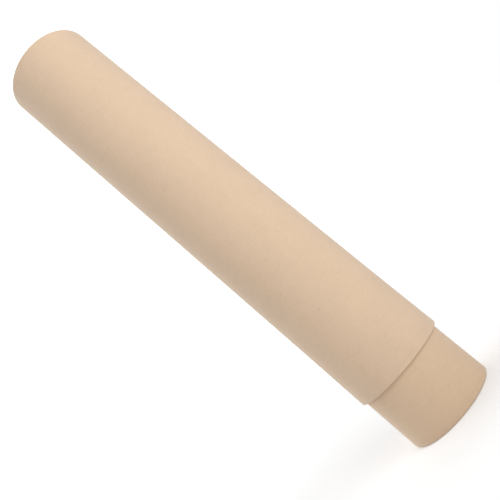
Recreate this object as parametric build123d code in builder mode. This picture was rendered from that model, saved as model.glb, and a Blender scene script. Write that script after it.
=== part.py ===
from build123d import *
from math import sqrt
import os

# Telescoping cardboard mailing tube, in millimetres.
# A long lid tube slides down over a slightly longer base tube. Each tube is wound board, open at its
# mouth. The wall at the other end is rolled inward over the skirt of a pressed board disc, which
# closes that end a little way in.
# Frame: +Z runs up the tubes' axis, and the origin is the centre of the rim that the base stands on.

# Whole tube, with the lid pushed home
closed_length = 340.0
lid_diameter = 65.0
base_showing = 38.0

# Wound walls, and the running gap between them
lid_wall = 1.8
base_wall = 1.8
sliding_gap = 0.3
mouth_bevel = 0.2

# Rolled rims, the same on both tubes. Inside the recess the roll's round is simplified to a plain
# bevel that touches the same arc.
rim_round = 1.5
roll_thickness = 1.2
lip_height = 3.0

# Pressed end discs, the same board for both
disc_board = 1.0
disc_crease = 0.4
disc_above_lip = 2.0
glue_line = 0.05

# Worked out from the values above
channel_width = disc_board + 2 * glue_line
disc_depth = lip_height + disc_above_lip
lid_radius = lid_diameter / 2
lid_bore = lid_radius - lid_wall
base_radius = lid_bore - sliding_gap
base_bore = base_radius - base_wall
lid_length = closed_length - base_showing
base_length = closed_length - disc_depth - disc_board

# Each closed end has its own plane: local X runs out from the axis and local Y runs into the tube.
base_end = Plane.XZ
lid_end = Plane(origin=(0, 0, closed_length), x_dir=(1, 0, 0), z_dir=(0, 1, 0))


def tube_section(end, outer_radius, bore, length):
    """Half section of a wound tube: straight wall, rim rolled inward, lip turned back up, cut mouth."""
    lip_outside = bore - channel_width
    lip_inside = lip_outside - roll_thickness
    lip_bevel = (2 - sqrt(2)) * rim_round
    with BuildSketch(end) as section:
        with BuildLine():
            Polyline(
                (outer_radius, 0),
                (outer_radius, length),
                (bore, length),
                (bore, roll_thickness),
                (lip_outside, roll_thickness),
                (lip_outside, lip_height),
                (lip_inside, lip_height),
                (lip_inside, 0),
                close=True,
            )
        make_face()
        fillet(section.vertices().group_by(Axis.Y)[0].sort_by(Axis.X)[-1], rim_round)
        chamfer(section.vertices().group_by(Axis.Y)[0].sort_by(Axis.X)[0], lip_bevel)
        chamfer(section.vertices().group_by(Axis.Y)[-1], mouth_bevel)
    return section.sketch


def disc_section(end, bore):
    """Half section of an end disc: flat panel, creased at its rim into a skirt that the roll traps."""
    skirt_outside = bore - glue_line
    skirt_inside = skirt_outside - disc_board
    skirt_edge = roll_thickness + glue_line
    outer_crease = disc_crease + (2 - sqrt(2)) * disc_board
    with BuildSketch(end) as section:
        with BuildLine():
            Polyline(
                (0, disc_depth),
                (skirt_inside, disc_depth),
                (skirt_inside, skirt_edge),
                (skirt_outside, skirt_edge),
                (skirt_outside, disc_depth + disc_board),
                (0, disc_depth + disc_board),
                close=True,
            )
        make_face()
        chamfer(section.vertices().group_by(Axis.Y)[1].sort_by(Axis.X)[-1], disc_crease)
        chamfer(section.vertices().group_by(Axis.Y)[-1].sort_by(Axis.X)[-1], outer_crease)
    return section.sketch


# Base tube: stands on its rolled rim, and its mouth meets the lid's end disc
with BuildPart() as base_tube:
    revolve(tube_section(base_end, base_radius, base_bore, base_length), axis=Axis.Z)

# Base end disc: closes the foot of the base
with BuildPart() as base_end_disc:
    revolve(disc_section(base_end, base_bore), axis=Axis.Z)

# Lid tube: slides over the base, mouth down, and leaves the foot of the base showing
with BuildPart() as lid_tube:
    revolve(tube_section(lid_end, lid_radius, lid_bore, lid_length), axis=Axis.Z)

# Lid end disc: closes the top of the lid
with BuildPart() as lid_end_disc:
    revolve(disc_section(lid_end, lid_bore), axis=Axis.Z)

pieces = {
    "base_tube": base_tube,
    "base_end_disc": base_end_disc,
    "lid_tube": lid_tube,
    "lid_end_disc": lid_end_disc,
}
os.makedirs("parts", exist_ok=True)
for name, piece in pieces.items():
    piece.part.label = name
    export_step(piece.part, f"parts/{name}.step")
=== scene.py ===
# %% [markdown]
# # A kraft mailing tube, dressed for its picture
#
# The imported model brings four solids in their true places: two wound tubes, one sliding over the other,
# and a board disc in the closed end of each. They are plain and a little coarse. In this lesson each of
# them gets a finer twin that stands for it in the picture, with the small things that make wound
# paper look like wound paper: a lap seam, a rim that is rolled and slightly pleated, and plies in the
# cut edge. Everything is in metres, and +Z runs up the tubes from the rim that stands on the floor.

from math import atan2, hypot, pi, radians

import bpy
from mathutils import Matrix, Vector


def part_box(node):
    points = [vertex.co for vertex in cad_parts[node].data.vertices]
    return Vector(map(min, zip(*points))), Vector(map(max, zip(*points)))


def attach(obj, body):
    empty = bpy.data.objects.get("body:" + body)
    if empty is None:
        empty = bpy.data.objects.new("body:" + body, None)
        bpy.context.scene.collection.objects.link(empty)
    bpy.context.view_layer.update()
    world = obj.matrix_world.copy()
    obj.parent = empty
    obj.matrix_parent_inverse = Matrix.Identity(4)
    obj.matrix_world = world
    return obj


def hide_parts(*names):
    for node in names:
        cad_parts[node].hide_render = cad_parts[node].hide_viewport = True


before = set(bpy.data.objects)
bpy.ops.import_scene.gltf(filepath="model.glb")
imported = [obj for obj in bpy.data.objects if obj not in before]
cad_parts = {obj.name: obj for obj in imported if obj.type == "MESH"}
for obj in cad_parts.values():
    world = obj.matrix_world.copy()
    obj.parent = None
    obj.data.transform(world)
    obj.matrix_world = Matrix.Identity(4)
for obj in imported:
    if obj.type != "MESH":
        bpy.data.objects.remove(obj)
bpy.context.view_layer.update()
MM = 0.001

# %% [markdown]
# ## Read the sizes off the solids
#
# A twin has to sit exactly where its solid is, so its radii and heights are measured and not guessed.
# Each solid is a body of revolution, so its box gives the outside radius and the two end heights. What
# the box can't say is the thickness of the board and the shape of the roll, and those are named here
# as the tube's maker knows them.


# %% Measure the solids
def outside(node):
    """Outside radius, lowest height and highest height of a round CAD node."""
    low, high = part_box(node)
    return high.x, low.z, high.z


base_radius, base_foot, base_mouth = outside("base_tube")
lid_radius, lid_mouth, lid_top = outside("lid_tube")
base_disc_radius, base_skirt_edge, base_panel_top = outside("base_end_disc")
lid_disc_radius, lid_panel_under, lid_skirt_edge = outside("lid_end_disc")

WALL = 1.8 * MM
ROLL = 1.2 * MM
LIP_HEIGHT = 3.0 * MM
DISC_BOARD = 1.0 * MM
GLUE_LINE = 0.05 * MM
CHANNEL = DISC_BOARD + 2 * GLUE_LINE
print("lid", round(lid_radius / MM, 2), "mm, base", round(base_radius / MM, 2), "mm in radius")

# %% [markdown]
# ## The camera
#
# The camera stands where the photo was taken from. The tube stands up in this frame, so the camera is
# rolled instead, until the tube leans across the picture. Its place comes from fitting the tube's
# outline, and it is given here as real distances.

# %% Camera
CAMERA_DISTANCE = 327.1 * MM
CAMERA_HEIGHT = 88.9 * MM
AIM_HEIGHT = 150.3 * MM
AIM_SIDE = -5.7 * MM
CAMERA_ROLL = radians(-49.8)
LENS = 37.77
SENSOR_WIDTH = 36.0
NEAREST_SEEN = 10 * MM

camera_data = bpy.data.cameras.new("camera")
camera_data.lens = LENS
camera_data.sensor_width = SENSOR_WIDTH
camera_data.clip_start = NEAREST_SEEN
camera = bpy.data.objects.new("camera", camera_data)
bpy.context.scene.collection.objects.link(camera)
camera.location = (CAMERA_DISTANCE, 0, CAMERA_HEIGHT)
aim = Vector((0, AIM_SIDE, AIM_HEIGHT)) - camera.location
camera.rotation_mode = "QUATERNION"
camera.rotation_quaternion = (
    aim.to_track_quat("-Z", "Y") @ Matrix.Rotation(CAMERA_ROLL, 4, "Z").to_quaternion()
)
bpy.context.scene.camera = camera
print("the camera is", round(aim.length / MM), "mm from the point that it looks at")

# %% [markdown]
# ## Ways to pick things in edit mode
#
# In a window we would click on a loop or a face. In a script we choose by place instead: a vertex is
# known by its distance from the axis, its height and its angle round the tube. The helpers here put one
# piece in edit mode with nothing selected, and select what follows such a rule.


# %% Selecting by place
def take(piece):
    """Leave every other object unselected, in object mode."""
    if bpy.context.object and bpy.context.object.mode != "OBJECT":
        bpy.ops.object.mode_set(mode="OBJECT")
    bpy.ops.object.select_all(action="DESELECT")
    bpy.context.view_layer.objects.active = piece
    piece.select_set(True)


def pick(piece, kind, rule):
    """Select the vertices, edges or faces whose corners all follow the rule, in edit mode."""
    take(piece)
    mesh = piece.data
    chosen = [rule(v.co) for v in mesh.vertices]
    for group in (mesh.vertices, mesh.edges, mesh.polygons):
        group.foreach_set("select", [False] * len(group))
    items = {"VERT": mesh.vertices, "EDGE": mesh.edges, "FACE": mesh.polygons}[kind]
    for item in items:
        item.select = chosen[item.index] if kind == "VERT" else all(chosen[i] for i in item.vertices)
    bpy.ops.object.mode_set(mode="EDIT")
    bpy.ops.mesh.select_mode(type=kind)
    return sum(item.select for item in items)


def near(a, b, slack=0.02 * MM):
    return abs(a - b) < slack


def from_axis(co):
    return hypot(co.x, co.y)


def ring_at(radius, height):
    """The rule for one ring of a round piece."""
    return lambda co: near(from_axis(co), radius) and near(co.z, height)


print("picking by place: ring_at(radius, height) and rules like it")

# %% [markdown]
# ## The wound tube
#
# A real tube starts as a board wound round a steel mandrel. Then one end is pressed into a curling die,
# which turns the wall inward and back up, like the hem of a trouser leg. We follow the same path. A
# cylinder is the outside of the wall. The face at its mouth is inset by the thickness of the board and
# pushed down inside to make the bore. Near the foot it is inset again and raised to make the lip that
# the roll leaves, and once more to come down to the foot, where a bridge closes the ring.
#
# The closed end is always built at the bottom. The lid is the same shape, turned over at the end.

# %% Inset and push the wall
AROUND = 320


def start_cylinder(name, radius, low, high):
    """A closed cylinder with flat ends, its place already in its mesh."""
    bpy.ops.object.select_all(action="DESELECT")
    bpy.ops.mesh.primitive_cylinder_add(
        vertices=AROUND,
        radius=radius,
        depth=high - low,
        location=(0, 0, (low + high) / 2),
        end_fill_type="NGON",
        calc_uvs=False,
    )
    piece = bpy.context.object
    piece.name = piece.data.name = name
    bpy.ops.object.transform_apply(location=True, rotation=True, scale=True)
    return piece


def inset_and_push(thickness, rise):
    """Inset the selected face by a thickness, then extrude what is left along the axis."""
    bpy.ops.mesh.inset(thickness=thickness, use_even_offset=True)
    bpy.ops.mesh.extrude_region_move(TRANSFORM_OT_translate={"value": (0, 0, rise)})


def square_tube(name, radius, length):
    """A wound wall with a rolled foot at height 0, still with square corners."""
    piece = start_cylinder(name, radius, 0, length)
    pick(piece, "FACE", lambda co: near(co.z, length))
    inset_and_push(WALL, ROLL - length)
    inset_and_push(CHANNEL, LIP_HEIGHT - ROLL)
    inset_and_push(ROLL, -LIP_HEIGHT)
    bpy.ops.mesh.delete(type="ONLY_FACE")
    pick(piece, "FACE", ring_at(radius, 0))
    bpy.ops.mesh.delete(type="ONLY_FACE")
    pick(piece, "EDGE", lambda co: near(co.z, 0))
    bpy.ops.mesh.bridge_edge_loops()
    take(piece)
    return piece


base_length = base_mouth - base_foot
lid_length = lid_top - lid_mouth
base_wall = square_tube("base_wall", base_radius, base_length)
lid_wall = square_tube("lid_wall", lid_radius, lid_length)
for wall in (base_wall, lid_wall):
    print(wall.name, "has", len(wall.data.polygons), "faces with square corners")

# %% [markdown]
# ## Round the corners
#
# The insets and extrusions leave square corners. The roll has a generous radius on both sides, because
# the die is a smooth half groove. The knife that cuts the mouth leaves it barely softened. Each ring of
# edges is picked by its radius and height, and bevelled by its real radius.

# %% Bevel the rings
RIM_ROUND = 1.5 * MM
MOUTH_SOFTNESS = 0.2 * MM
LIP_SOFTNESS = 0.3 * MM
RIM_STEPS = 8
SOFT_STEPS = 3


def soften(piece, radius, height, width, steps):
    """Bevel one ring of edges."""
    found = pick(piece, "EDGE", ring_at(radius, height))
    bpy.ops.mesh.bevel(offset=width, segments=steps, profile=0.5, affect="EDGES")
    return found


def round_corners(piece, radius, length):
    """Bevel the roll, the cut mouth and the lip of one wall."""
    bore = radius - WALL
    lip_outside = bore - CHANNEL
    lip_inside = lip_outside - ROLL
    rings = [
        soften(piece, radius, 0, RIM_ROUND, RIM_STEPS),
        soften(piece, lip_inside, 0, RIM_ROUND, RIM_STEPS),
        soften(piece, radius, length, MOUTH_SOFTNESS, SOFT_STEPS),
        soften(piece, bore, length, MOUTH_SOFTNESS, SOFT_STEPS),
        soften(piece, lip_outside, LIP_HEIGHT, LIP_SOFTNESS, SOFT_STEPS),
        soften(piece, lip_inside, LIP_HEIGHT, LIP_SOFTNESS, SOFT_STEPS),
    ]
    take(piece)
    print(piece.name, "bevelled rings of", rings, "edges")


round_corners(base_wall, base_radius, base_length)
round_corners(lid_wall, lid_radius, lid_length)

# %% [markdown]
# ## Plies in the cut edge
#
# The mouth is cut through the wound board, so its edge shows the plies, like the pages of a closed
# book. The flat ring at the mouth is cut into narrow rings by subdividing only the edges that cross it,
# and every second ring of vertices is pressed in by a few hundredths of a millimetre.

# %% Groove the mouth
PLIES = 6
PLY_GROOVE = 0.035 * MM


def pick_edges(piece, rule):
    """Select the edges whose two ends together follow the rule."""
    pick(piece, "EDGE", lambda co: False)
    take(piece)
    points = piece.data.vertices
    for edge in piece.data.edges:
        edge.select = rule(*(points[i].co for i in edge.vertices))
    bpy.ops.object.mode_set(mode="EDIT")


def groove_the_mouth(piece, radius, length):
    """Part the cut ring into plies."""
    outer, inner = radius - MOUTH_SOFTNESS, radius - WALL + MOUTH_SOFTNESS

    def across_the_cut(a, b):
        at_mouth = near(a.z, length) and near(b.z, length)
        return at_mouth and abs(from_axis(a) - from_axis(b)) > WALL / 2

    pick_edges(piece, across_the_cut)
    bpy.ops.mesh.subdivide(number_cuts=2 * PLIES - 1)
    ply = (outer - inner) / PLIES
    moved = 0
    for n in range(1, PLIES):
        moved += pick(piece, "VERT", ring_at(inner + ply * n, length))
        bpy.ops.transform.translate(value=(0, 0, -PLY_GROOVE))
    take(piece)
    print(piece.name, PLIES - 1, "grooves between plies,", moved, "vertices pressed in")


groove_the_mouth(base_wall, base_radius, base_length)
groove_the_mouth(lid_wall, lid_radius, lid_length)

# %% [markdown]
# ## Pushing a surface softly
#
# The next touches are far too fine to pull one by one: a strip of wall that stands a tenth of a
# millimetre proud, or a rim with small pleats. Blender's Displace modifier moves a surface along its
# normals. A vertex group says where it acts and how strongly, so each touch is a rule that turns a
# place into a weight. Modifiers are applied at once, and the group goes away with them.

# %% Weigh and displace
MIDDLE_GREY = 0.5


def smooth(t):
    """From 0 to 1 without a corner at either end."""
    t = min(max(t, 0.0), 1.0)
    return t * t * (3 - 2 * t)


def press(piece, title, weight_at, strength, texture=None, level=0.0, direction="NORMAL", uv=None):
    """Displace a piece by a texture, or evenly without one, where its weights say."""
    take(piece)
    group = piece.vertex_groups.new(name=title)
    for point in piece.data.vertices:
        weight = weight_at(point.co)
        if weight > 0:
            group.add([point.index], weight, "REPLACE")
    touch = piece.modifiers.new(title, "DISPLACE")
    touch.vertex_group = title
    touch.direction = direction
    touch.strength = strength
    touch.mid_level = level
    if texture:
        touch.texture = texture
        touch.texture_coords = "UV" if uv else "LOCAL"
    if uv:
        touch.uv_layer = uv
    bpy.ops.object.modifier_apply(modifier=title)
    piece.vertex_groups.remove(piece.vertex_groups[title])
    print(piece.name, title, "up to", round(abs(strength) / MM, 3), "mm")


# %% [markdown]
# ## Short bands in the long walls
#
# So far each strip of wall is one long face, and a face can only be moved by its corners. The long
# edges are cut into short ones, so that the fine touches that follow have something to act on.

# %% Band the walls
BANDS = 36


def band_the_wall(piece, length):
    """Cut the long edges of the wall into short ones."""
    pick_edges(piece, lambda a, b: abs(a.z - b.z) > length / 2)
    bpy.ops.mesh.subdivide(number_cuts=BANDS - 1)
    take(piece)
    print(piece.name, "now has", len(piece.data.polygons), "faces")


band_the_wall(base_wall, base_length)
band_the_wall(lid_wall, lid_length)

# %% [markdown]
# ## The lap seam
#
# The wall is wound from one wide sheet, so there is a straight edge down the tube where the last turn
# ends, and another inside where the first turn begins. The seam is a step of one thin ply that is sharp
# on one side and fades out round the wall on the other. A cut plane gives the step its own narrow strip
# of faces, and then everything on one side of it is raised.

# %% Lap the outer and the inner ply
LAP_STEP = 0.14 * MM
LAP_EDGE = 0.05 * MM
LAP_FADE = 14 * MM
LAP_STRIP = 2 * MM
WALL_SLACK = 0.4 * MM
MOUTH_MARGIN = 0.9 * MOUTH_SOFTNESS


def lap(piece, title, radius, side, length):
    """A straight lap in the wall at this radius, at the side -1 or +1 of X."""
    pick(piece, "FACE", lambda co: co.x * side > 0 and abs(co.y) < LAP_STRIP)
    bpy.ops.mesh.bisect(plane_co=(0, LAP_EDGE, 0), plane_no=(0, 1, 0))
    below_mouth = length - MOUTH_MARGIN

    def raised(co):
        beyond = atan2(co.y, co.x * side) * radius
        in_wall = near(from_axis(co), radius, WALL_SLACK) and ROLL / 2 < co.z < below_mouth
        if not in_wall or beyond < LAP_EDGE / 2:
            return 0.0
        return smooth(co.z / RIM_ROUND) * (1 - smooth(beyond / LAP_FADE))

    press(piece, title, raised, LAP_STEP)


lap(base_wall, "outer lap", base_radius, -1, base_length)
lap(base_wall, "inner lap", base_radius - WALL, +1, base_length)
lap(lid_wall, "outer lap", lid_radius, -1, lid_length)
lap(lid_wall, "inner lap", lid_radius - WALL, +1, lid_length)

# %% [markdown]
# ## The wall is never quite true
#
# Board that is wound wet and dried on a rack ends a few hundredths of a millimetre out of round. That
# is enough to keep a long straight highlight from looking ruled. A soft cloud texture does it, with its
# middle grey as the true surface, so that the wall wanders both ways.

# %% A slight unevenness
OUT_OF_ROUND = 0.12 * MM
WANDER_SIZE = 45 * MM
TRUE_END = 12 * MM

wander = bpy.data.textures.new("wall wander", "CLOUDS")
wander.noise_scale = WANDER_SIZE
wander.noise_depth = 1


def unsettle(piece, radius, length):
    """Let the outside of the wall wander, but not its two ends."""

    def free(co):
        if from_axis(co) < radius - WALL / 3:
            return 0.0
        return smooth((co.z - RIM_ROUND) / TRUE_END) * smooth((length - co.z) / TRUE_END)

    press(piece, "out of round", free, OUT_OF_ROUND, wander, level=MIDDLE_GREY)


unsettle(base_wall, base_radius, base_length)
unsettle(lid_wall, lid_radius, lid_length)

# %% [markdown]
# ## Pleats in the roll
#
# When a wall is rolled inward its edge has to fit a smaller circle than before, so the board gathers in
# fine radial pleats. They are strongest on the lip and gone at the outside. A cloud texture makes them.
# Its coordinates run round one circle, and don't change from the outside of the roll to its inside, so
# each pleat is one long ridge. They are only ever pressed in, so the rim still stands flat.

# %% Pleat the rolled rims
PLEAT = 0.24 * MM
PLEAT_CIRCLE = 1.7
PLEAT_WIDTH = 0.25
PLEAT_CONTRAST = 1.6
ONLY_IN = 1.15
ABOVE_FOOT = 0.7 * ROLL

gathers = bpy.data.textures.new("rim gathers", "CLOUDS")
gathers.noise_scale = PLEAT_WIDTH
gathers.noise_depth = 2
gathers.contrast = PLEAT_CONTRAST


def circle_map(piece, title):
    """A UV map that depends only on the angle round the axis."""
    layer = piece.data.uv_layers.new(name=title)
    for loop in piece.data.loops:
        co = piece.data.vertices[loop.vertex_index].co
        reach = max(from_axis(co), 1e-9)
        layer.data[loop.index].uv = (PLEAT_CIRCLE * co.x / reach, PLEAT_CIRCLE * co.y / reach)


def pleat(piece, radius):
    """Gather the roll of one wall in fine pleats."""
    lip_inside = radius - WALL - CHANNEL - ROLL

    def gathered(co):
        reach = from_axis(co)
        above_lip = co.z > LIP_HEIGHT + LIP_SOFTNESS
        in_channel = co.z > ABOVE_FOOT and reach > lip_inside + ROLL / 2
        if above_lip or in_channel:
            return 0.0
        return smooth((radius - reach) / (radius - lip_inside))

    circle_map(piece, "round")
    press(piece, "pleats", gathered, PLEAT, gathers, level=ONLY_IN, uv="round")
    piece.data.uv_layers.remove(piece.data.uv_layers["round"])


pleat(base_wall, base_radius)
pleat(lid_wall, lid_radius)

# %% [markdown]
# ## The end discs
#
# Each closed end is a disc of pressed board with its edge folded into a skirt, like a shallow pan. The
# skirt stands in the channel of the roll, which is what holds it. We start from a cylinder again and
# hollow it from below by an inset and a push, and then bevel both sides of the crease. More insets lay
# rings across the panel, so that it can be dished by the small amount that the press leaves.

# %% Press a disc
CREASE = 0.4 * MM
CREASE_STEPS = 4
SHOULDER_STEPS = 6
EDGE_STEPS = 2
RING_STEP = 2.4 * MM
SMALL_MIDDLE = 2 * MM
PANEL_SLACK = 0.1 * MM
DISH = 0.35 * MM
DISH_SLOPE = 9 * MM
FLAT_EDGE = 1 * MM
PULP_SIZE = 7 * MM
PULP_HEIGHT = 0.1 * MM

pulp = bpy.data.textures.new("pulp", "CLOUDS")
pulp.noise_scale = PULP_SIZE
pulp.noise_depth = 2


def ring_the_panel(piece, height, edge):
    """Lay rings across one flat end by insets, down to a small middle."""
    pick(piece, "FACE", lambda co: near(co.z, height) and from_axis(co) < edge + PANEL_SLACK)
    rings = int((edge - SMALL_MIDDLE) / RING_STEP)
    for _ in range(rings):
        bpy.ops.mesh.inset(thickness=RING_STEP, use_even_offset=True)
    return rings


def end_disc(name, radius, skirt_edge, panel_top):
    """A pan of board, upside down: skirt below, panel above."""
    piece = start_cylinder(name, radius, skirt_edge, panel_top)
    panel_under = panel_top - DISC_BOARD
    pick(piece, "FACE", lambda co: near(co.z, skirt_edge))
    inset_and_push(DISC_BOARD, panel_under - skirt_edge)
    soften(piece, radius - DISC_BOARD, panel_under, CREASE, CREASE_STEPS)
    soften(piece, radius, panel_top, CREASE + DISC_BOARD, SHOULDER_STEPS)
    soften(piece, radius, skirt_edge, LIP_SOFTNESS, EDGE_STEPS)
    soften(piece, radius - DISC_BOARD, skirt_edge, LIP_SOFTNESS, EDGE_STEPS)
    flat = radius - DISC_BOARD - CREASE
    rings = ring_the_panel(piece, panel_under, flat) + ring_the_panel(piece, panel_top, flat)

    def inner_panel(co):
        in_panel = co.z > skirt_edge + DISC_BOARD
        return smooth((flat - FLAT_EDGE - from_axis(co)) / DISH_SLOPE) if in_panel else 0.0

    press(piece, "dish", inner_panel, DISH, direction="Z")
    press(piece, "pulp", inner_panel, PULP_HEIGHT, pulp, level=MIDDLE_GREY, direction="Z")
    print(name, "has", rings, "rings across its two faces")
    return piece


base_disc = end_disc("base_disc", base_disc_radius, base_skirt_edge, base_panel_top)
lid_disc = end_disc("lid_disc", lid_disc_radius, lid_top - lid_skirt_edge, lid_top - lid_panel_under)

# %% [markdown]
# ## Turn the pieces to their places
#
# Both tubes were built foot down with the lap at the back. A tube that has been handled never has its
# two laps in line, so the base is turned a little about its axis. The lid and its disc are turned over
# and raised to the top. With no window open the rotate operator has no pivot of its own, so it is given
# one, and it turns clockwise, so it is given the angle with its sign changed. Each turn is applied, so
# that every object stays at the origin with its place in its mesh.

# %% Turn the base, and turn the lid over
BASE_TURN = radians(28)
ORIGIN = (0, 0, 0)


def turn(pieces, angle, axis, rise=0.0):
    """Turn pieces anticlockwise about an axis through the origin, raise them, and apply both."""
    for piece in pieces:
        take(piece)
        bpy.ops.transform.rotate(
            value=-angle, orient_axis=axis, orient_type="GLOBAL", center_override=ORIGIN
        )
        bpy.ops.transform.translate(value=(0, 0, rise))
        bpy.ops.object.transform_apply(location=True, rotation=True, scale=True)
        heights = [v.co.z for v in piece.data.vertices]
        print(piece.name, "from", round(min(heights) / MM, 2), "to", round(max(heights) / MM, 2), "mm")


turn([base_wall, base_disc], BASE_TURN, "Z")
turn([lid_wall, lid_disc], pi, "X", rise=lid_top)

# %% [markdown]
# ## Shade the curves smooth
#
# The walls are smooth, but the laps, the plies and the cut lip have real edges. Smoothing by angle
# keeps those sharp and rounds the rest.

# %% Smooth by angle
SHARP_ABOVE = 32

for piece in (base_wall, base_disc, lid_wall, lid_disc):
    take(piece)
    bpy.ops.object.shade_smooth_by_angle(angle=radians(SHARP_ABOVE))
print("smoothed four pieces, edges kept above", SHARP_ABOVE, "degrees")

# %% [markdown]
# ## Who rides on what
#
# The lid slides off the base, so each twin rides on the body of the solid that it stands for, and that
# solid is hidden.

# %% Ride and replace
for piece, node, body, finish in (
    (base_wall, "base_tube", "base", "kraft_tube"),
    (base_disc, "base_end_disc", "base", "kraft_disc"),
    (lid_wall, "lid_tube", "lid", "kraft_tube"),
    (lid_disc, "lid_end_disc", "lid", "kraft_disc"),
):
    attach(piece, body)
    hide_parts(node)
    print(piece.name, "stands for", node, "on", body)

# %% [markdown]
# ## Building a material by hand
#
# A procedural material is a small circuit, and a few helpers keep it readable. One plugs a value into an
# input, one adds a node with its inputs by their names, one does a sum, and one opens a new material with
# its one shader.


# %% Node helpers
def plug(tree, value, socket):
    """Link an output to this input, or set the input to a plain value."""
    if isinstance(value, bpy.types.NodeSocket):
        tree.links.new(value, socket)
    else:
        socket.default_value = value


def put(tree, kind, **names):
    """Add a node. Names in small letters are its settings, and all others are its inputs."""
    node = tree.nodes.new("ShaderNode" + kind)
    for name, value in names.items():
        if name.islower():
            setattr(node, name, value)
        else:
            plug(tree, value, node.inputs[name.replace("_", " ")])
    return node


def sum_up(tree, operation, *values):
    """A Math node's result."""
    node = tree.nodes.new("ShaderNodeMath")
    node.operation = operation
    for socket, value in zip(node.inputs, values):
        plug(tree, value, socket)
    return node.outputs["Value"]


def open_material(name):
    """A new material with a Principled shader on its output."""
    material = bpy.data.materials.new(name)
    material.use_nodes = True
    tree = material.node_tree
    tree.nodes.clear()
    shader = put(tree, "BsdfPrincipled")
    put(tree, "OutputMaterial", Surface=shader.outputs["BSDF"])
    return material, tree, shader


print("node helpers: plug, put, sum_up, open_material")

# %% [markdown]
# ## Unrolling the sheet
#
# Kraft paper is made flat, and its fibres lie in the sheet. To paint them we need to know where on the
# flat sheet a point of the tube lies. The angle times the radius is how far round the sheet it is, and
# the height is how far along. Over the rim the sheet turns inward, so the distance from the outside is
# added there. The angle is measured from the lap, so the pattern parts where the sheet does.


# %% Where a point lies on the sheet
def on_the_sheet(tree, radius, lap_turn, inward):
    """The place in space, the place on the unrolled sheet and the reach from the axis, in metres.

    inward is -1 where the closed end is below, and +1 where it is above.
    """
    place = put(tree, "TexCoord").outputs["Object"]
    turned = put(tree, "Mapping", Vector=place, Rotation=(0, 0, -lap_turn)).outputs["Vector"]
    x, y, z = put(tree, "SeparateXYZ", Vector=turned).outputs
    squares = sum_up(tree, "MULTIPLY_ADD", x, x, sum_up(tree, "MULTIPLY", y, y))
    reach = sum_up(tree, "SQRT", squares)
    round_wall = sum_up(tree, "MULTIPLY", sum_up(tree, "ARCTAN2", y, x), radius)
    depth = sum_up(tree, "SUBTRACT", radius, reach)
    along = sum_up(tree, "MULTIPLY_ADD", depth, inward, z)
    sheet = put(tree, "CombineXYZ", X=round_wall, Y=along).outputs["Vector"]
    return place, sheet, reach


print("sheet coordinates: round the wall, along it")

# %% [markdown]
# ## Fibres, clouds and specks
#
# Looked at closely, unbleached kraft is a mat of short fibres, some paler and some browner than the
# rest, with soft clouds where the pulp lay thicker, and now and then a dark speck of bark. Fibres are
# drawn as the bright cores of stretched Voronoi cells, in layers laid at several angles. Clouds are noise
# at several sizes. Specks are the cores of round cells, pulled out of shape by noise. Each cell draws a
# number, and only the few that draw a low one get a speck, of a size that goes with the number.

# %% Pattern pieces
FIBRE_CORE = 0.1
FIBRE_EDGE = 0.36
SPECK_RAGS = 0.6 * MM
SPECK_BLUR = 0.2


def fade(tree, value, full, gone, last=0.0):
    """1 while a value is below full, and down to last where it passes gone."""
    node = put(tree, "MapRange", Value=value, From_Min=full, From_Max=gone, To_Min=1.0, To_Max=last)
    return node.outputs["Result"]


def fibre_layer(tree, sheet, angle, length, width, share):
    """Short strokes that lie one way on the sheet. share is how many of the cells hold one."""
    laid = put(tree, "Mapping", vector_type="TEXTURE", Vector=sheet, Rotation=(0, 0, angle))
    laid.inputs["Scale"].default_value = (length, width, 1)
    cells = put(tree, "TexVoronoi", voronoi_dimensions="2D", Vector=laid.outputs["Vector"], Scale=1.0)
    core = fade(tree, cells.outputs["Distance"], FIBRE_CORE, FIBRE_EDGE)
    chance = put(tree, "SeparateColor", Color=cells.outputs["Color"]).outputs["Red"]
    return sum_up(tree, "MULTIPLY", core, sum_up(tree, "LESS_THAN", chance, share))


def lay_fibres(tree, sheet, tone, angles, *kinds):
    """Add strokes to a tone. A kind is its turn, length, width, share and how much it adds."""
    for angle in angles:
        for turned, length, width, share, amount in kinds:
            strokes = fibre_layer(tree, sheet, angle + turned, length, width, share)
            tone = sum_up(tree, "MULTIPLY_ADD", strokes, amount, tone)
    return tone


def specks(tree, place, spacing, share, largest):
    """Small ragged dots, far apart, no two the same size."""
    ragged = put(tree, "TexNoise", Vector=place, Scale=1 / SPECK_RAGS, Detail=2.0).outputs["Color"]
    pulled = put(tree, "VectorMath", operation="MULTIPLY_ADD", Vector=ragged)
    pulled.inputs[1].default_value = (largest, largest, largest)
    tree.links.new(place, pulled.inputs[2])
    cells = put(tree, "TexVoronoi", Vector=pulled.outputs["Vector"], Scale=1 / spacing)
    chance = put(tree, "SeparateColor", Color=cells.outputs["Color"]).outputs["Green"]
    size = put(tree, "MapRange", Value=chance, From_Max=share, To_Min=largest / 2 / spacing, To_Max=0.0)
    inside = sum_up(tree, "SUBTRACT", size.outputs["Result"], cells.outputs["Distance"])
    return put(tree, "MapRange", Value=inside, From_Max=SPECK_BLUR * largest / spacing).outputs["Result"]


def clouds(tree, place, size, detail=2.0, roughness=0.5):
    """Soft noise from 0 to 1 with features of about this size."""
    noise = put(tree, "TexNoise", Vector=place, Scale=1 / size, Detail=detail, Roughness=roughness)
    return noise.outputs["Fac"]


def vary(tree, tone, pattern, amount):
    """Push a tone both ways by a pattern that runs from 0 to 1."""
    return sum_up(tree, "MULTIPLY_ADD", pattern, amount, sum_up(tree, "SUBTRACT", tone, amount / 2))


print("pattern pieces: lay_fibres, specks, clouds, vary")

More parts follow.
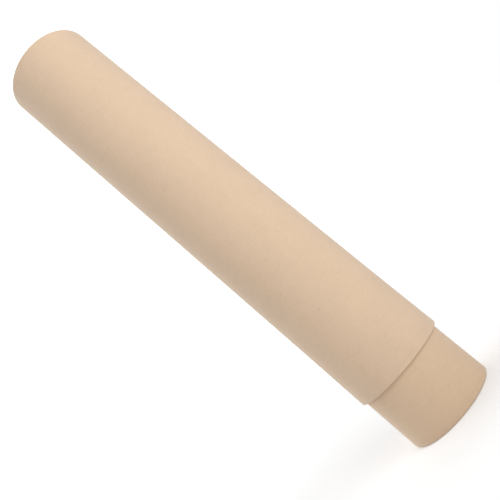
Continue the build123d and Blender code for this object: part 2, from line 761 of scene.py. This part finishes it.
# %% [markdown]
# ## From a tone to a surface
#
# Every finish on the tube is made the same way. Its patterns add up to one tone, with 0.5 in the middle.
# A colour ramp turns the tone to a colour, browner below and paler above. The same tone drives the
# roughness, because pressed fibres are a touch smoother, and a very small bump. What is the same all over
# the surface, such as its gloss, is set on the shader itself.

# %% Wear a tone
BROWNING = 0.35
MIDDLE_TONE = 0.5


def shade(colour, amount):
    """A colour made darker and browner below 1, or paler and greyer above it."""
    return tuple(min(c * amount ** (1.0 + BROWNING * (1 - c)), 1.0) for c in colour)


def wear(tree, shader, tone, colour, dark, pale, matt, bump, height=None):
    """dark and pale are a tone and its shade, matt two roughnesses, bump a strength and a depth.

    height is what the bump follows, where that is not the tone.
    """
    ramp = put(tree, "ValToRGB", Fac=tone)
    ramp.color_ramp.elements.new(MIDDLE_TONE)
    stops = (dark[0], shade(colour, dark[1])), (MIDDLE_TONE, colour), (pale[0], shade(colour, pale[1]))
    for element, (position, tint) in zip(ramp.color_ramp.elements, stops):
        element.position = position
        element.color = (*tint, 1.0)
    rough = put(tree, "MapRange", Value=tone, To_Min=matt[0], To_Max=matt[1])
    relief = put(tree, "Bump", Height=tone, Strength=bump[0], Distance=bump[1])
    if height is not None:
        plug(tree, height, relief.inputs["Height"])
    plug(tree, ramp.outputs["Color"], shader.inputs["Base Color"])
    plug(tree, rough.outputs["Result"], shader.inputs["Roughness"])
    plug(tree, relief.outputs["Normal"], shader.inputs["Normal"])


def set_gloss(shader, gloss, fuzz):
    """The weak shine of the paper, and the sheen of its loose fibre ends."""
    shader.inputs["Specular IOR Level"].default_value = gloss
    shader.inputs["Sheen Weight"].default_value = fuzz


print("a tone is worn as colour, roughness and bump")

# %% [markdown]
# ## The kraft paper
#
# The walls wear smooth brown kraft. Its tone has clouds at three sizes, fibres that cross at small
# angles and lie mostly along the tube, a few specks, and along the lap a thin dark line of painted shade
# along the step of the last ply, in a wider stain where glue has come through. The liner in the bore is a
# browner grade. A weak sheen stands for the loose fibre ends, which make the limbs of a paper tube paler
# and greyer than its middle.

# %% Kraft paper for the walls
LID_KRAFT = (0.730, 0.542, 0.380)
# The base's kraft is the lid's made a little darker and warmer: painted shade for the dimmer, warmer
# light on the lower part of the tube
BASE_KRAFT_WITH_PAINTED_SHADE = (0.717, 0.525, 0.358)
LINER_KRAFT = (0.600, 0.432, 0.290)
PAPER_GLOSS = 0.32
PAPER_FUZZ = 0.34
PAPER_WEAR = dict(dark=(0.0, 0.74), pale=(1.0, 1.16), matt=(0.86, 0.72), bump=(0.35, 0.06 * MM))

BROAD_CLOUD = 30 * MM
SMALL_CLOUD = 6 * MM
GRAIN = 0.5 * MM
CLOUD_AMOUNT = 0.14
FIBRE_ANGLES = (radians(84), radians(62), radians(113))
PALE_FIBRE = (0.0, 4.2 * MM, 0.34 * MM, 0.55, 0.07)
DARK_FIBRE = (radians(11), 3.1 * MM, 0.27 * MM, 0.4, -0.08)
SPECK_SPACING = 5 * MM
SPECK_SHARE = 0.14
LARGEST_SPECK = 1.1 * MM
SPECK_AMOUNT = -0.30
LAP_SHADE_AND_GLUE_AMOUNT = -0.30
# LAP_SHADOW is how wide the painted shade along the lap's step is; GLUE_STAIN and STAIN_LEVEL are the
# glue stain beside it.
LAP_SHADOW = (0.08 * MM, 0.45 * MM)
GLUE_STAIN = (1.5 * MM, 4.0 * MM)
STAIN_LEVEL = 0.22


def lap_shade_and_glue(tree, sheet, radius):
    """1 on the edge of the last ply, a thin line of painted shade along its step, then a lower level
    where glue has darkened the paper, and 0 beyond.
    """
    x = put(tree, "SeparateXYZ", Vector=sheet).outputs["X"]
    beside = sum_up(tree, "SUBTRACT", pi * radius, sum_up(tree, "ABSOLUTE", x))
    # A thin line of painted shade along the step of the last ply, over a glue stain beside it
    edge = fade(tree, beside, *LAP_SHADOW, last=STAIN_LEVEL)
    stain = fade(tree, beside, *GLUE_STAIN)
    return sum_up(tree, "MULTIPLY", edge, stain)


def paper(name, colour, radius, lap_turn, inward):
    """Kraft paper wound round one tube."""
    material, tree, shader = open_material(name)
    place, sheet, _ = on_the_sheet(tree, radius, lap_turn, inward)
    tone = vary(tree, MIDDLE_TONE, clouds(tree, place, BROAD_CLOUD), CLOUD_AMOUNT)
    tone = vary(tree, tone, clouds(tree, place, SMALL_CLOUD, detail=3.0), CLOUD_AMOUNT)
    tone = vary(tree, tone, clouds(tree, place, GRAIN, detail=3.0, roughness=0.6), CLOUD_AMOUNT)
    tone = lay_fibres(tree, sheet, tone, FIBRE_ANGLES, PALE_FIBRE, DARK_FIBRE)
    bark = specks(tree, place, SPECK_SPACING, SPECK_SHARE, LARGEST_SPECK)
    tone = sum_up(tree, "MULTIPLY_ADD", bark, SPECK_AMOUNT, tone)
    # The lap darkens the tone: painted shade along its step, and a glue stain beside it
    tone = sum_up(tree, "MULTIPLY_ADD", lap_shade_and_glue(tree, sheet, radius), LAP_SHADE_AND_GLUE_AMOUNT, tone)
    wear(tree, shader, tone, colour, **PAPER_WEAR)
    set_gloss(shader, PAPER_GLOSS, PAPER_FUZZ)
    print(name, "has", len(tree.nodes), "nodes")
    return material


base_paper = paper("base kraft paper", BASE_KRAFT_WITH_PAINTED_SHADE, base_radius, BASE_TURN, -1)
lid_paper = paper("lid kraft paper", LID_KRAFT, lid_radius, 0.0, +1)
base_liner = paper("base liner paper", LINER_KRAFT, base_radius - WALL, BASE_TURN + pi, -1)
lid_liner = paper("lid liner paper", LINER_KRAFT, lid_radius - WALL, pi, +1)

# %% [markdown]
# ## The cut edge
#
# The knife leaves the plies open. Each ply shows its own tone, and the cut fibres stand out of it, so the
# edge is rougher and a little browner than the face of the paper. The ply that a point belongs to comes
# from its distance from the axis.

# %% Cut plies
CUT_KRAFT = (0.62, 0.46, 0.315)
CUT_GLOSS = 0.2
CUT_FUZZ = 0.2
CUT_WEAR = dict(dark=(0.2, 0.66), pale=(0.8, 1.25), matt=(0.95, 0.84), bump=(0.8, 0.08 * MM))
FRAY_SIZE = 1.2 * MM
FRAY_AMOUNT = 0.8
FLUFF_SIZE = 0.25 * MM
FLUFF_AMOUNT = 0.6


def cut_edge(name, radius, lap_turn):
    """The open plies at the mouth of one tube."""
    material, tree, shader = open_material(name)
    place, _, reach = on_the_sheet(tree, radius, lap_turn, -1)
    ply = sum_up(tree, "DIVIDE", sum_up(tree, "SUBTRACT", radius, reach), WALL / PLIES)
    fray = clouds(tree, place, FRAY_SIZE, detail=3.0)
    frayed = sum_up(tree, "MULTIPLY_ADD", fray, FRAY_AMOUNT, ply)
    layers = put(tree, "TexNoise", noise_dimensions="1D", W=frayed, Scale=1.0, Detail=1.0)
    fluff = clouds(tree, place, FLUFF_SIZE, detail=4.0, roughness=0.7)
    tone = vary(tree, layers.outputs["Fac"], fluff, FLUFF_AMOUNT)
    wear(tree, shader, tone, CUT_KRAFT, **CUT_WEAR)
    set_gloss(shader, CUT_GLOSS, CUT_FUZZ)
    print(name, "has", len(tree.nodes), "nodes")
    return material


base_cut = cut_edge("base cut plies", base_radius, BASE_TURN)
lid_cut = cut_edge("lid cut plies", lid_radius, 0.0)

# %% [markdown]
# ## Dressing the walls
#
# Each wall has three finishes: good paper outside and over the roll, liner in the bore, and cut plies
# at the mouth. The faces of the last two are picked by place and given their own slot.

# %% Assign the wall finishes
BORE_SLACK = 0.25 * MM
MOUTH_SLACK = 1.1 * MOUTH_SOFTNESS


def dress_wall(piece, radius, closed_end, mouth, finishes):
    """Paper all over, then liner in the bore and cut plies at the mouth."""
    for finish in finishes:
        piece.data.materials.append(finish)
    bore = radius - WALL

    def in_bore(co):
        return near(from_axis(co), bore, BORE_SLACK) and abs(co.z - closed_end) > ROLL / 2

    def at_mouth(co):
        return near(co.z, mouth, MOUTH_SLACK)

    for slot, rule in enumerate((in_bore, at_mouth), start=1):
        found = pick(piece, "FACE", rule)
        piece.active_material_index = slot
        bpy.ops.object.material_slot_assign()
        print(piece.name, found, "faces wear", finishes[slot].name)
    take(piece)


dress_wall(base_wall, base_radius, base_foot, base_mouth, (base_paper, base_liner, base_cut))
dress_wall(lid_wall, lid_radius, lid_top, lid_mouth, (lid_paper, lid_liner, lid_cut))

# %% [markdown]
# ## The disc board
#
# The discs are pressed from a browner board. Its fibres lie every way, because it isn't wound, and it
# keeps the faint dimples of the press felt. The disc is flat, so places on it need no unrolling.

# %% Pressed board for the discs
DISC_KRAFT = (0.655, 0.478, 0.322)
BOARD_GLOSS = 0.28
BOARD_FUZZ = 0.16
BOARD_WEAR = dict(dark=(0.0, 0.7), pale=(1.0, 1.2), matt=(0.92, 0.8), bump=(0.5, 0.07 * MM))
FELT_PITCH = 1.1 * MM
FELT_AMOUNT = 0.5
PULP_CLOUD = 9 * MM
PULP_AMOUNT = 0.5
BOARD_GRAIN = 0.45 * MM
GRAIN_AMOUNT = 0.3
EVERY_WAY = (0.0, radians(47), radians(95), radians(140))
PALE_STRAND = (0.0, 3.6 * MM, 0.36 * MM, 0.5, 0.12)
DARK_STRAND = (radians(23), 2.8 * MM, 0.3 * MM, 0.45, -0.15)


def pressed_board(name):
    """Brown board pressed between felts."""
    material, tree, shader = open_material(name)
    place = put(tree, "TexCoord").outputs["Object"]
    tone = vary(tree, MIDDLE_TONE, clouds(tree, place, PULP_CLOUD, detail=3.0), PULP_AMOUNT)
    grain = clouds(tree, place, BOARD_GRAIN, detail=3.0, roughness=0.65)
    tone = vary(tree, tone, grain, GRAIN_AMOUNT)
    tone = lay_fibres(tree, place, tone, EVERY_WAY, PALE_STRAND, DARK_STRAND)
    felt = put(tree, "TexVoronoi", Vector=place, Scale=1 / FELT_PITCH).outputs["Distance"]
    height = sum_up(tree, "MULTIPLY_ADD", felt, FELT_AMOUNT, tone)
    wear(tree, shader, tone, DISC_KRAFT, **BOARD_WEAR, height=height)
    set_gloss(shader, BOARD_GLOSS, BOARD_FUZZ)
    print(name, "has", len(tree.nodes), "nodes")
    return material


disc_board = pressed_board("pressed disc board")
for disc in (base_disc, lid_disc):
    disc.data.materials.append(disc_board)

# %% [markdown]
# ## The CAD solids' own finish
#
# The four solids are hidden behind their twins, but anyone who shows them again should see kraft and
# not grey, so they wear the same finishes.

# %% Dress the hidden solids
for node, finish in (
    ("base_tube", base_paper),
    ("base_end_disc", disc_board),
    ("lid_tube", lid_paper),
    ("lid_end_disc", disc_board),
):
    solid = bpy.data.objects[node]
    for slot in solid.material_slots:
        slot.material = finish
    print(node, "wears", finish.name)

# %% [markdown]
# ## The floor and the air
#
# The picture has nothing behind the tube but white. The floor is a plain white sheet that takes a
# shadow. A diffuse white is never quite white on film, so where the camera looks straight at it the floor
# also glows by the little that is missing, and by more the further away it is, until it meets the white
# air. That glow is seen by the camera and in reflections only. It lights nothing.

# %% Floor
FLOOR_SIZE = 14.0
FLOOR_WHITE = 0.85
GLOW_NEAR = 0.29
GLOW_FAR = 1.0
NEAR_THE_TUBE = 0.05
FAR_AWAY = 1.6

bpy.ops.object.select_all(action="DESELECT")
bpy.ops.mesh.primitive_plane_add(size=FLOOR_SIZE, location=(0, 0, 0))
floor = bpy.context.object
floor.name = "floor"

floor_paint = bpy.data.materials.new("floor paint")
floor_paint.use_nodes = True
tree = floor_paint.node_tree
tree.nodes.clear()


def seen_directly(tree):
    """1 for rays that show this surface as it is, and 0 for rays that carry its light."""
    path = put(tree, "LightPath")
    seen = sum_up(tree, "MAXIMUM", path.outputs["Is Camera Ray"], path.outputs["Is Glossy Ray"])
    return sum_up(tree, "MAXIMUM", seen, path.outputs["Is Transmission Ray"])


place = put(tree, "TexCoord").outputs["Object"]
away = put(tree, "VectorMath", operation="LENGTH", Vector=place)
glow = put(tree, "MapRange", Value=away.outputs["Value"], From_Min=NEAR_THE_TUBE, From_Max=FAR_AWAY)
glow.inputs["To Min"].default_value = GLOW_NEAR
glow.inputs["To Max"].default_value = GLOW_FAR
strength = sum_up(tree, "MULTIPLY", glow.outputs["Result"], seen_directly(tree))
paint = put(tree, "BsdfDiffuse", Color=(FLOOR_WHITE, FLOOR_WHITE, FLOOR_WHITE, 1))
shine = put(tree, "Emission", Color=(1, 1, 1, 1), Strength=strength)
both = tree.nodes.new("ShaderNodeAddShader")
tree.links.new(paint.outputs["BSDF"], both.inputs[0])
tree.links.new(shine.outputs["Emission"], both.inputs[1])
put(tree, "OutputMaterial", Surface=both.outputs["Shader"])
floor.data.materials.append(floor_paint)
print("floor glows from", GLOW_NEAR, "near the tube to", GLOW_FAR)

# %% [markdown]
# ## The white air
#
# A picture like this is taken in front of a lit white sheet. The sheet throws light forward, past the
# tube, so both edges of the tube are paler than the part just inside them. The air does the same here:
# it is white wherever it is seen, and as a light it is even and weak in front, and grows towards one
# place behind the tube.

# %% World
LIGHT_BEHIND = 2.05
LIGHT_IN_FRONT = 0.29
BRIGHT_SIDE = (-0.78, -0.62, 0.0)

world = bpy.data.worlds.new("white air")
bpy.context.scene.world = world
world.use_nodes = True
tree = world.node_tree
tree.nodes.clear()
outward = put(tree, "TexCoord").outputs["Generated"]
towards = put(tree, "VectorMath", operation="DOT_PRODUCT", Vector=outward)
towards.inputs[1].default_value = BRIGHT_SIDE
level = put(tree, "MapRange", Value=towards.outputs["Value"], From_Min=0.0, From_Max=1.0)
level.inputs["To Min"].default_value = LIGHT_IN_FRONT
level.inputs["To Max"].default_value = LIGHT_BEHIND
lift = sum_up(tree, "MAXIMUM", level.outputs["Result"], seen_directly(tree))
air = put(tree, "Background", Color=(1, 1, 1, 1), Strength=lift)
put(tree, "OutputWorld", Surface=air.outputs["Background"])
print("the air lights at", LIGHT_BEHIND, "from behind and", LIGHT_IN_FRONT, "from in front")

# %% [markdown]
# ## The lamp
#
# One large soft lamp stands above the camera and to one side, nearer to the head of the tube than to its
# foot. It is big for its distance, so the shading rolls round the tube with no edge.

# %% Soft key lamp
KEY_PLACE = (0.54, 0.38, 0.36)
KEY_SIZE = 0.6
KEY_POWER = 2.84
KEY_AIM = (0, 0, 170 * MM)

key_data = bpy.data.lights.new("soft key", "AREA")
key_data.shape = "DISK"
key_data.size = KEY_SIZE
key_data.energy = KEY_POWER
key = bpy.data.objects.new("soft key", key_data)
bpy.context.scene.collection.objects.link(key)
key.location = KEY_PLACE
key.rotation_mode = "QUATERNION"
key.rotation_quaternion = (Vector(KEY_AIM) - key.location).to_track_quat("-Z", "Y")
print("key lamp", round((Vector(KEY_AIM) - key.location).length, 2), "m away")

# %% [markdown]
# ## Close the scene
#
# The picture uses the standard view, so that a colour comes out as it was written.

# %% Set the standard view
bpy.context.scene.view_settings.view_transform = "Standard"
